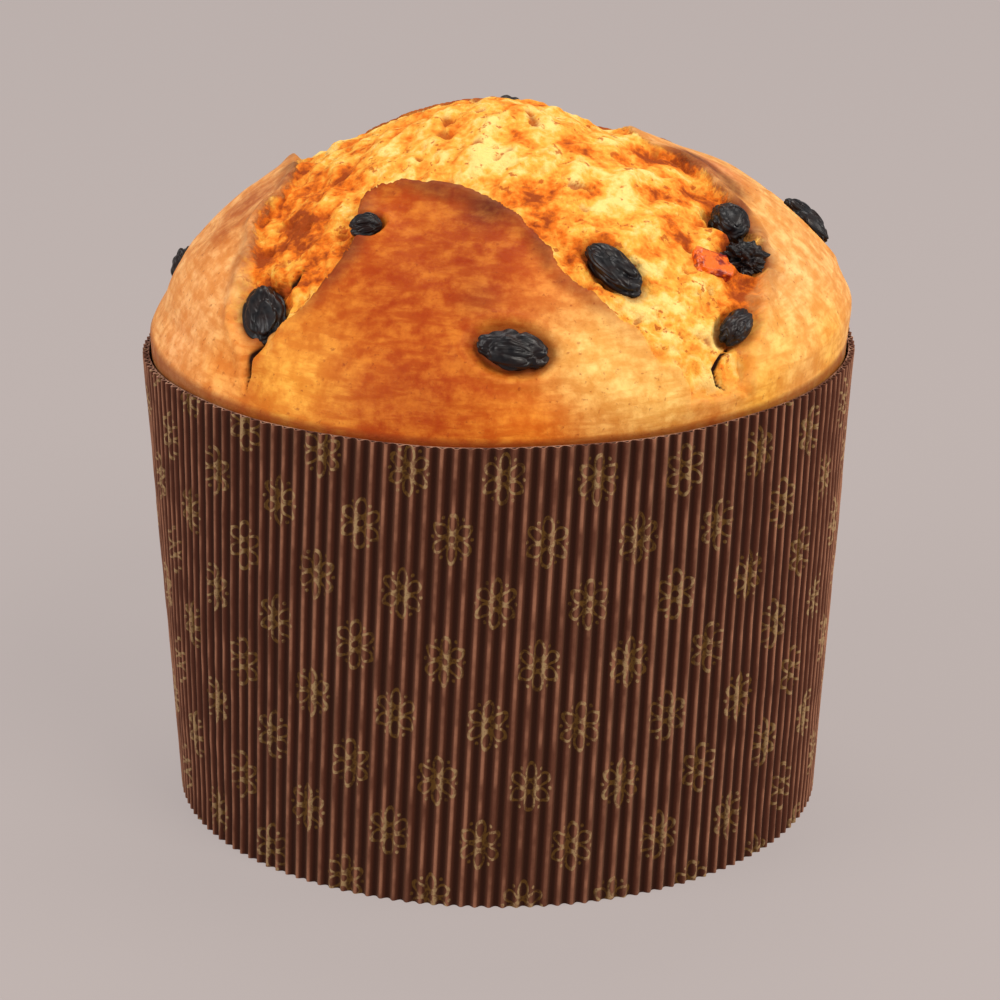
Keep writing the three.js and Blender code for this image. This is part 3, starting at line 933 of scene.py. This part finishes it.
# Where the crumb is darker than its mean, from 0 for the palest to 1: azimuth, height, reach, darkness
crumbSpots = [
    (-11, 47, 14, 0.1),
    (51, 23, 4, 1.1),
    (55, 26, 4, 1.1),
    (60, 30, 4, 1.0),
    (75, 38, 5, 0.85),
    (172, 47, 11, 0.55),
    (77, 48, 12, 0.3),
    (38, 41, 10, 0.05),
    (10, 42, 7, 0.85),
    (19, 38, 7, 0.9),
    (27, 35, 7, 0.75),
    (30, 25, 10, 0.0),
    (33, 16, 10, 0.3),
    (45, 28, 9, 0.05),
    (-60, 33, 13, 0.85),
    (-57, 28, 12, 0.8),
    (-79, 39, 10, 0.8),
    (-82, 45, 9, 0.45),
    (-55, 38, 8, 0.45),
    (-48, 18, 9, 0.6),
    (140, 35, 14, 0.5),
    (-140, 32, 14, 0.6),
    (84, 42.7, 3, 1.1),
    (86, 41.3, 3, 1.15),
    (91, 39.7, 3, 1.15),
    (98, 37.8, 3, 1.2),
    (92, 36.7, 3, 1.1),
    (88, 34.9, 3, 1.1),
    (36, 41.8, 3, 0.95),
    (63, 39.5, 3, 1.0),
    (50.7, 35.5, 2.8, 1.05),
    (50.8, 33.3, 2.5, 1.1),
    (-96, 36, 4, 1.05),
]


def blendSpots(points, start, spots):
    """Fades each spot's value over the starting ones, strongest in the spot's middle."""
    values = start.copy()
    for azimuth, over, reach, value, strength in spots:
        share = strength * bump(distanceTo(points, azimuth, over), 0, reach)
        values += share[:, None] * (np.atleast_1d(value) - values)
    return values


def openTears(points, azimuth, over):
    """How deep each point lies in its flap, negative in the tears, and the way out of the flap."""
    warps = [[(size, strength, seed + step) for size, strength, step in loaf["warps"]]
             for seed in loaf["warpSeeds"]]
    fromRim = np.clip(over / loaf["leanStart"], 0, 1)
    plan = points[:, :2] + np.stack([layered(points, warp) for warp in warps], -1) * fromRim[:, None]
    x, y = plan.T
    depth = flapDepth(x, y)
    closedBelow = np.interp(np.degrees(azimuth), *np.transpose(loaf["closedBelow"]), period=360)
    closedBelow = closedBelow + loaf["closedWave"] * ripple(points, loaf["closedSpan"], seed=17)
    depth = np.maximum(depth, (closedBelow - over) * loaf["closedSlope"])
    step = loaf["slopeStep"]
    outward = -np.stack([flapDepth(x + step, y) - depth, flapDepth(x, y + step) - depth, 0 * depth], -1)
    return depth, outward, fromRim


def crumbRelief(points, depth):
    """The torn dough between the flaps, its strands and its holes."""
    away = np.maximum(-depth, 0)
    steepness = 0.55 + 0.45 * smooth(away, 0, loaf["flapEdge"])
    fading = np.exp(-np.maximum(0, away - loaf["flapEdge"]) / loaf["crownSpread"])
    along = points @ unit(np.array(loaf["strandAlong"]))
    across = points @ unit(np.array(loaf["strandAcross"]))
    strands = [along / loaf["strandStretch"], across, points[:, 1] * loaf["strandThrough"]]
    strand = ripple(np.stack(strands, -1), loaf["strandSpan"], 2, seed=43)
    lumps = loaf["lumpRise"] * ripple(points, loaf["lumpSpan"], 3, seed=41) + loaf["strandRise"] * strand
    holes = sum(deep * smooth(ripple(points, size, seed=seed), low, high)
                for size, seed, low, high, deep in loaf["holes"])
    return -loaf["tearDepth"] * steepness * fading + lumps - holes, strand, holes


def distanceTo(points, azimuth, over):
    return np.linalg.norm(points - onDome(azimuth, over), axis=1)


def fruitReach(points, centre, axes, half):
    """The distance from the middle of a piece of fruit, 1 being its skin."""
    return np.linalg.norm((points - centre) @ axes.T / half, axis=1)


def bedRelief(points):
    """The dough round each piece of fruit: a low ring, and a hollow under and beside the fruit."""
    relief = np.zeros(len(points))
    for centre, axes, half in fruitFrames.values():
        near = np.linalg.norm(points - centre, axis=1) < fruitBed["near"]
        reach = fruitReach(points[near], centre, axes, half)
        relief[near] += (fruitBed["ring"] * bump(reach, fruitBed["ringAt"], fruitBed["ringWidth"])
                         - fruitBed["moat"] * bump(reach, fruitBed["moatAt"], fruitBed["moatWidth"])
                         - fruitBed["hollow"] * np.clip(1 - reach, 0, 1))
    return relief


def crackRelief(points):
    """How deep the cracks cut, and how dark the painted shade in them is."""
    relief = np.zeros(len(points))
    shade = np.zeros(len(points))
    for route, halfWidth, deep in cracks:
        gap, where = alongCrack(points, route)
        width = halfWidth * np.sin(np.pi * np.clip(where, 0.04, 0.96)) ** 0.6
        relief -= deep * bump(gap, 0, width * 0.8) - 0.4 * bump(gap, width * 2.2, width)
        shade = np.maximum(shade, 1 - smooth(gap, width * 0.35, width * 1.15))
    return relief, shade


def crustTone(points):
    plain = np.zeros((len(points), 3))
    weights = np.zeros((len(points), 1))
    for name, outline in flapRounded.items():
        share = smooth(depthInside(outline, points[:, 0], points[:, 1]), -12, 4)[:, None] + 1e-4
        plain += share * linear(flapTones[name])
        weights += share
    spots = [(azimuth, over, reach, linear(color), strength)
             for azimuth, over, reach, color, strength in bakedSpotsAndHighlight]
    return blendSpots(points, plain / weights, spots)


def fruitShade(points, over):
    """How dark the painted shade in the dough is beside the fruit, and where the dough meets the paper."""
    # painted shadow of the paper's rim, in a band above it and on the hidden side below
    shade = 0.95 * (1 - smooth(over, 0.3, 1.6))
    # painted shade round each piece of fruit
    for centre, axes, half in fruitFrames.values():
        reach = fruitReach(points, centre, axes, half)
        shade = np.maximum(shade, 1 - smooth(reach, *fruitBed["shade"]))
    return shade


def makeLoaf():
    piece, points, azimuth = plainLoaf()
    normals = readNormals(piece)
    over = points[:, 2] - case["height"]
    depth, outward, fromRim = openTears(points, azimuth, over)
    outward = unit(outward - normals * (outward * normals).sum(1)[:, None])
    crust = smooth(depth, *loaf["crustEdge"])
    calm = blendSpots(points, np.ones((len(points), 1)), flatLips)[:, 0]
    lipStrength = calm * (0.6 + 0.4 * ripple(points, 14, seed=21)) * smooth(over, *loaf["lipStart"])
    flap = (loaf["flapLift"] * calm * np.exp(-np.maximum(depth, 0) / (2 * loaf["flapEdge"]))
            + loaf["lipRise"] * lipStrength * bump(depth, loaf["lipMiddle"], loaf["lipWidth"]))
    crumb, strand, holes = crumbRelief(points, depth)
    mound = loaf["crownRise"] * bump(np.hypot(points[:, 0], points[:, 1]), 0, loaf["crownSpread"])
    relief = mound + crust * (flap + layered(points, loaf["crustSwell"])) + (1 - crust) * crumb
    for middle, height, reach, rise in swells:
        relief += rise * bump(distanceTo(points, middle, height), 0, reach)
    cracked, crackShade = crackRelief(points)
    relief += bedRelief(points) + cracked
    overhang = loaf["overhang"] * lipStrength * crust * bump(depth, 0, loaf["lipWidth"])
    moved = normals * (relief * fromRim)[:, None] + outward * (overhang * fromRim)[:, None]
    writePoints(piece, points + moved)
    tone = crustTone(points)
    darkness = blendSpots(points, np.full((len(points), 1), 0.45), [spot + (0.9,) for spot in crumbSpots])
    addAttribute(piece, "depth", depth)
    addAttribute(piece, "blend", 0.5 + 4.5 * (1 - smooth(over, 8, 30)))
    addAttribute(piece, "lip", lipStrength * smooth(depth, -1.5, 0) * (1 - smooth(depth, 0.8, 4.5)))
    addAttribute(piece, "crack", crackShade)
    # the holes' depth, used for painted shade in them
    addAttribute(piece, "holeShade", holes)
    addAttribute(piece, "tone", np.concatenate([tone, np.ones((len(tone), 1))], 1), "FLOAT_COLOR")
    # painted shade: the crumb darker low between its strands and paler on them
    addAttribute(piece, "darkness", darkness[:, 0] - 0.38 * strand)
    addAttribute(piece, "paintedFruitAndRimShade", fruitShade(points, over))
    makeActive(piece)
    bpy.ops.object.mode_set(mode="EDIT")
    bpy.ops.mesh.select_all(action="DESELECT")
    bpy.ops.mesh.select_mode(type="EDGE")
    bpy.ops.mesh.select_non_manifold()
    bpy.ops.mesh.edge_face_add()
    bpy.ops.mesh.select_all(action="SELECT")
    bpy.ops.mesh.normals_make_consistent(inside=False)
    bpy.ops.object.mode_set(mode="OBJECT")
    bpy.ops.object.shade_smooth()
    piece.data.materials.append(bakedDough())
    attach(piece, "root")
    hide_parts("loaf")
    print("loaf:", len(piece.data.polygons), "faces")


doughTones = {
    "crustShade": (226, 196, 150),
    "crustGlow": (255, 206, 104),
    "freckle": (150, 66, 22),
    "lip": (124, 60, 36),
    # holeShade: painted shade in the crumb's holes
    "holeShade": (164, 70, 18),
    "speck": (176, 82, 24),
    # paintedShadeBrown: painted shade beside the fruit and along the paper
    "paintedShadeBrown": (122, 48, 16),
    # crack: painted shade in the cracks
    "crack": (40, 14, 8),
}


def bakedDough():
    material, tree, shader = newMaterial("bakedDough")
    coordinates = objectCoordinates(tree)
    depth = attributeNode(tree, "depth", "Fac")
    ragged = mathNode(tree, "MULTIPLY_ADD", noiseNode(tree, coordinates, 1.6, 4), 1.6, -0.8)
    edge = mathNode(tree, "ADD", depth, ragged)
    blend = attributeNode(tree, "blend", "Fac")  # how softly crust and crumb meet, in millimetres
    start = mathNode(tree, "MULTIPLY", blend, -1.0)
    crust = rangeNode(tree, edge, start, mathNode(tree, "MULTIPLY", blend, 0.6))
    # crust
    mottle = noiseNode(tree, coordinates, 4.5, 5, 0.62)
    grain = noiseNode(tree, coordinates, 1.3, 4, 0.6)
    streaks = noiseNode(tree, coordinates, 2.6, 4, 0.55, stretch=(0.3, 0.3, 1.6))
    tone = attributeNode(tree, "tone", "Color")
    tones = rgbaTones(doughTones)
    dark = mixNode(tree, 1.0, tone, tones["crustShade"], "MULTIPLY")
    light = mixNode(tree, 0.2, tone, tones["crustGlow"])
    crustColor = mixNode(tree, rangeNode(tree, mottle, 0.3, 0.7), dark, light)
    crustColor = mixNode(tree, rangeNode(tree, streaks, 0.44, 0.66, 0.0, 0.7), crustColor, dark)
    freckles = mathNode(tree, "MULTIPLY", rangeNode(tree, grain, 0.6, 0.74), 0.55)
    crustColor = mixNode(tree, freckles, crustColor, tones["freckle"])
    # darker along the flaps' torn edges, in patches
    lipPatches = spotsNode(tree, 7, 3, 0.3, 0.6, 0.45, 1.1)
    lip = mathNode(tree, "MULTIPLY", attributeNode(tree, "lip", "Fac"), lipPatches)
    crustColor = mixNode(tree, lip, crustColor, tones["lip"])
    deepen = tree.nodes.new("ShaderNodeGamma")
    deepen.inputs["Gamma"].default_value = 1.22
    wire(tree, crustColor, deepen.inputs["Color"])
    crustColor = deepen.outputs["Color"]
    # crumb
    darkness = attributeNode(tree, "darkness", "Fac")
    fluff = noiseNode(tree, coordinates, 6.5, 5, 0.6)
    crumbs = noiseNode(tree, coordinates, 1.6, 3, 0.5)
    level = mathNode(tree, "ADD", darkness, mathNode(tree, "MULTIPLY_ADD", fluff, 1.9, -0.95))
    level = mathNode(tree, "ADD", level, mathNode(tree, "MULTIPLY_ADD", crumbs, 0.8, -0.4))
    ramp = tree.nodes.new("ShaderNodeValToRGB")
    wire(tree, level, ramp.inputs["Fac"])
    stops = ramp.color_ramp.elements
    stops[0].position, stops[0].color = 0.02, rgba(crumbTones["pale"])
    stops[1].position, stops[1].color = 1.0, rgba(crumbTones["brown"])
    for position, name in ((0.35, "gold"), (0.72, "orange")):
        stop = stops.new(position)
        stop.color = rgba(crumbTones[name])
    # painted shade: the crumb darker the deeper its holes
    holeShade = attributeNode(tree, "holeShade", "Fac")
    holeShade = rangeNode(tree, holeShade, 0.1, 1.4, 0.0, 0.85)
    crumbColor = mixNode(tree, holeShade, ramp.outputs["Color"], tones["holeShade"])
    specks = spotsNode(tree, 2.4, 3, 0.6, 0.68, 0.0, 0.8, rough=0.6)
    crumbColor = mixNode(tree, specks, crumbColor, tones["speck"])
    color = mixNode(tree, crust, crumbColor, crustColor)
    paintedFruitAndRimShade = attributeNode(tree, "paintedFruitAndRimShade", "Fac")
    # painted shade beside the fruit and along the paper
    color = mixNode(tree, mathNode(tree, "MULTIPLY", paintedFruitAndRimShade, 0.75), color, tones["paintedShadeBrown"])
    # painted shade in the cracks
    crack = attributeNode(tree, "crack", "Fac")
    color = mixNode(tree, rangeNode(tree, crack, 0.25, 0.8), color, tones["crack"])
    wire(tree, color, shader.inputs["Base Color"])
    wire(tree, rangeNode(tree, crust, 0, 1, 0.85, 0.56), shader.inputs["Roughness"])
    setInputs(shader, {"Specular IOR Level": 0.14, "Subsurface Weight": 0.08,
                       "Subsurface Radius": (1.0, 0.5, 0.2), "Subsurface Scale": 2 * mm})
    crumbShare = mathNode(tree, "SUBTRACT", 1.0, crust)
    crumbHeight = mathNode(tree, "MULTIPLY", mathNode(tree, "ADD", fluff, crumbs), crumbShare)
    crustHeight = mathNode(tree, "ADD", grain, mathNode(tree, "MULTIPLY", streaks, 0.6))
    crustHeight = mathNode(tree, "MULTIPLY", crustHeight, mathNode(tree, "MULTIPLY", crust, 0.22))
    height = mathNode(tree, "ADD", crumbHeight, crustHeight)
    wire(tree, bumpNode(tree, height, 1.0, 0.9), shader.inputs["Normal"])
    return material


# The raisins: plump ovals, shrivelled along their length
raisin = {
    "subdivisions": 6,
    "seedStep": 11.3,
    "draw": (0.75, 1.0, 1.0),
    "fold": 0.15,
    "foldScale": 1.15,
    "wrinkle": 0.045,
    "wrinkleScale": (1.2, 3.0, 3.0),
    "squeeze": 0.1,
    "squeezeScale": 1.1,
    "squeezeShift": 5,
    "ragged": {"raisin_right_burnt": 0.5},
    "raggedScale": 1.7,
    "fullness": 1.03,
}


def makeRaisins():
    skin = raisinSkin()
    for index, name in enumerate(raisinNodes):
        centre, axes, half = fruitFrames[name]
        deselectAll()
        bpy.ops.mesh.primitive_ico_sphere_add(subdivisions=raisin["subdivisions"], radius=mm,
                                              location=(0, 0, 0))
        piece = bpy.context.object
        piece.name = name + "_skin"
        ball = unit(readPoints(piece))
        seed = raisin["seedStep"] * index
        drawn = ball * raisin["draw"] + seed
        folds = 1 - 2 * np.abs(noiseAt(drawn * raisin["foldScale"]))
        wrinkles = 1 - 2 * np.abs(noiseAt(drawn * raisin["wrinkleScale"]))
        squeezed = noiseAt(drawn * raisin["squeezeScale"] + raisin["squeezeShift"])
        size = (1.0 - raisin["fold"] * smooth(folds, 0.35, 1.0)
                - raisin["wrinkle"] * smooth(wrinkles, 0.5, 1.0) + raisin["squeeze"] * squeezed)
        if name in raisin["ragged"]:
            size += raisin["ragged"][name] * fractalAt(ball * raisin["raggedScale"] + seed, 0.8, 3)
        shaped = ball * size[:, None] * raisin["fullness"]
        writePoints(piece, centre + (shaped * half) @ axes)
        makeActive(piece)
        bpy.ops.object.shade_smooth()
        piece.data.materials.append(skin)
        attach(piece, "root")
        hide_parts(name)
    print("raisins:", len(raisinNodes))


raisinTones = {"black": (7, 6, 11), "brown": (24, 9, 8), "bluishGrey": (30, 36, 44)}


def raisinSkin():
    material, tree, shader = newMaterial("raisinSkin")
    tones = rgbaTones(raisinTones)
    color = mixNode(tree, spotsNode(tree, 3.5, 3, 0.38, 0.66), tones["black"], tones["brown"])
    # patches of bluish grey on the dark skin
    color = mixNode(tree, spotsNode(tree, 6, 2, 0.52, 0.7, 0.0, 0.35), color, tones["bluishGrey"])
    wire(tree, color, shader.inputs["Base Color"])
    wire(tree, spotsNode(tree, 1.2, 3, 0.35, 0.65, 0.3, 0.55), shader.inputs["Roughness"])
    setInputs(shader, {"Specular IOR Level": 0.28, "Coat Weight": 0.1, "Coat Roughness": 0.2})
    wrinkles = noiseNode(tree, objectCoordinates(tree), 1.1, 3)
    wire(tree, bumpNode(tree, wrinkles, 0.12, 0.4), shader.inputs["Normal"])
    return material


# Candied peel: sticky dice with sunken sides
peel = {"rounding": 0.35, "levels": 4, "fullness": 1.05, "dent": 0.16, "dentScale": 0.9, "seedStep": 5.7}
peelTones = {"dark": (126, 16, 4), "bright": (232, 104, 10), "burnt": (46, 12, 8)}


def makePeel():
    skin = peelFlesh()
    for index, name in enumerate(peelNodes):
        centre, axes, half = fruitFrames[name]
        deselectAll()
        bpy.ops.mesh.primitive_cube_add(size=2 * mm, location=(0, 0, 0))
        piece = bpy.context.object
        piece.name = name + "_dice"
        addModifier(piece, "BEVEL", width=peel["rounding"] * mm, segments=3)
        addModifier(piece, "SUBSURF", levels=peel["levels"], render_levels=peel["levels"])
        applyModifiers(piece)
        points = readPoints(piece)
        dents = ripple(points, peel["dentScale"], 3, peel["seedStep"] * index)
        dented = points * (peel["fullness"] + peel["dent"] * dents[:, None])
        writePoints(piece, centre + (dented * half) @ axes)
        makeActive(piece)
        bpy.ops.object.shade_smooth()
        piece.data.materials.append(skin)
        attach(piece, "root")
        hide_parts(name)
    print("peel:", len(peelNodes))


def peelFlesh():
    material, tree, shader = newMaterial("candiedPeelFlesh")
    tones = rgbaTones(peelTones)
    color = mixNode(tree, spotsNode(tree, 2.8, 3, 0.36, 0.54), tones["dark"], tones["bright"])
    color = mixNode(tree, spotsNode(tree, 5, 2, 0.55, 0.66), color, tones["burnt"])
    wire(tree, color, shader.inputs["Base Color"])
    setInputs(shader, {"Roughness": 0.38, "Coat Weight": 0.12, "Subsurface Weight": 0.15,
                       "Subsurface Radius": (1.0, 0.4, 0.15), "Subsurface Scale": 1.5 * mm})
    sticky = noiseNode(tree, objectCoordinates(tree), 0.9, 4)
    wire(tree, bumpNode(tree, sticky, 0.3, 0.6), shader.inputs["Normal"])
    return material


makeCamera()
makeStudio()
makeFlutedSheet()
makeLiner()
makeFoot()
finishBaseDisc()
makeLoaf()
makeRaisins()
makePeel()
